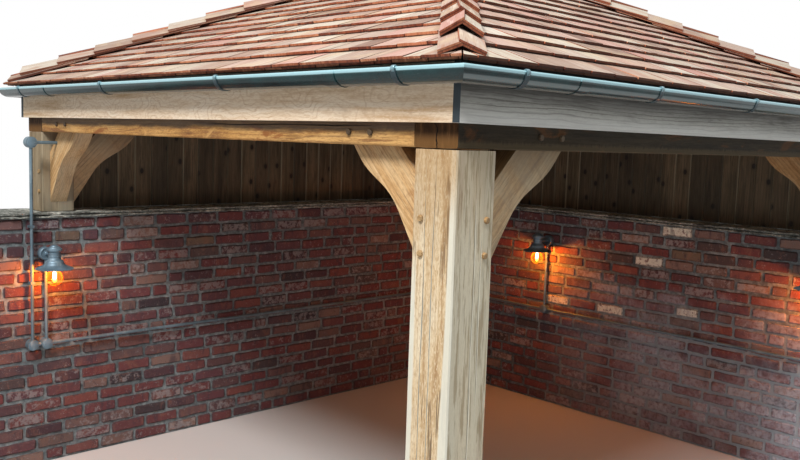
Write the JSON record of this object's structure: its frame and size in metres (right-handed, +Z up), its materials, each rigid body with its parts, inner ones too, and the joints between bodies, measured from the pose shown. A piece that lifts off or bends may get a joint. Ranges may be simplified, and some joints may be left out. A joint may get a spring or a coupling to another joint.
{
  "type": "timber gazebo",
  "caption": "Timber gazebo: swan-neck braced corner posts on an L-shaped brick wall, boarding above the wall and a shingled pyramid roof with half-round gutters.",
  "frame": {"origin": "bottom centre of the overall bounding box, at ground level", "axes": "+X along the open front side, +Y to the brick wall at the back, +Z up"},
  "size_m": [4.915, 3.87, 3.2785],
  "materials": {
    "oak_frame": "sawn, pale straw",
    "oak_rafters": "sawn",
    "roof_boards": "planed",
    "cedar_shingles": "split, pinkish tan",
    "oak_fascia": "smooth, honey",
    "weathered_fascia": "weathered silver grey",
    "galvanised_gutter": "galvanised",
    "reclaimed_brick": "rough, worn",
    "stone_coping": "split, rough",
    "knotty_boards": "stained dark",
    "lamp_steel": "galvanised",
    "bulb_glass": "warm, lit",
    "conduit_steel": "galvanised"
  },
  "bodies": {
    "root": {"front_left_post": "oak_frame", "front_right_post": "oak_frame", "back_left_post": "oak_frame", "back_right_post": "oak_frame", "front_plate": "oak_frame", "right_plate": "oak_frame", "back_plate": "oak_frame", "left_plate": "oak_frame", "front_braces": "oak_frame", "right_braces": "oak_frame", "back_braces": "oak_frame", "left_braces": "oak_frame", "hip_rafters": "oak_rafters", "front_rafters": "oak_rafters", "right_rafters": "oak_rafters", "back_rafters": "oak_rafters", "left_rafters": "oak_rafters", "apex_boss": "oak_rafters", "front_roof_boards": "roof_boards", "right_roof_boards": "roof_boards", "back_roof_boards": "roof_boards", "left_roof_boards": "roof_boards", "front_shingles": "cedar_shingles", "right_shingles": "cedar_shingles", "back_shingles": "cedar_shingles", "left_shingles": "cedar_shingles", "hip_caps": "cedar_shingles", "left_fascia": "oak_fascia", "right_fascia": "oak_fascia", "front_fascia": "weathered_fascia", "back_fascia": "weathered_fascia", "front_gutter": "galvanised_gutter", "right_gutter": "galvanised_gutter", "back_gutter": "galvanised_gutter", "left_gutter": "galvanised_gutter", "gutter_brackets": "galvanised_gutter", "back_wall": "reclaimed_brick", "right_wall": "reclaimed_brick", "back_coping": "stone_coping", "right_coping": "stone_coping", "back_boarding": "knotty_boards", "right_boarding": "knotty_boards", "wall_lamps": "lamp_steel", "lamp_bulbs": "bulb_glass", "wall_conduit": "conduit_steel"}
  },
  "joints": []
}
